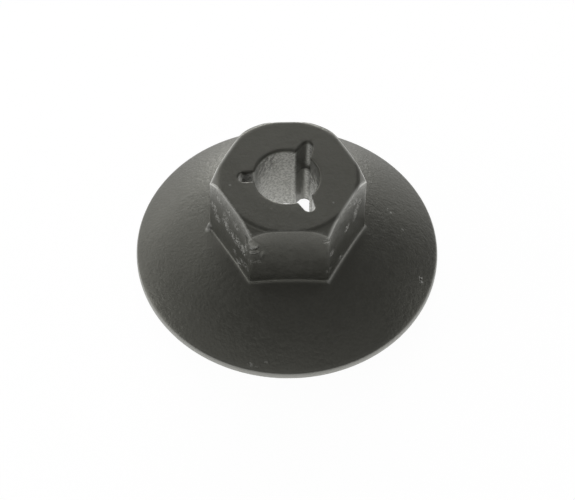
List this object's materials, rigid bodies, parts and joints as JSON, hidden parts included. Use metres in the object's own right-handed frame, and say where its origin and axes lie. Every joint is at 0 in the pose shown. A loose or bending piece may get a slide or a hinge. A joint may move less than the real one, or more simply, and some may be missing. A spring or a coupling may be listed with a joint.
{
  "type": "fender liner nut",
  "caption": "Moulded plastic hexagon nut with a wide domed flange, dished underneath, and a smooth slotted bore that forms its own thread on a stud to hold a fender liner.",
  "frame": {"origin": "centre of the flange's seat, on the bore axis, at the bottom of the part", "axes": "+Z along the bore axis, from the seat towards the hexagon's top face; +X towards a corner of the hexagon"},
  "size_m": [0.0228, 0.0226, 0.0098],
  "materials": {
    "moulded_plastic": "dark grey moulded nylon with a fine satin grain, scuffed on the flats"
  },
  "bodies": {
    "root": {"flanged_nut": "moulded_plastic"}
  },
  "joints": []
}
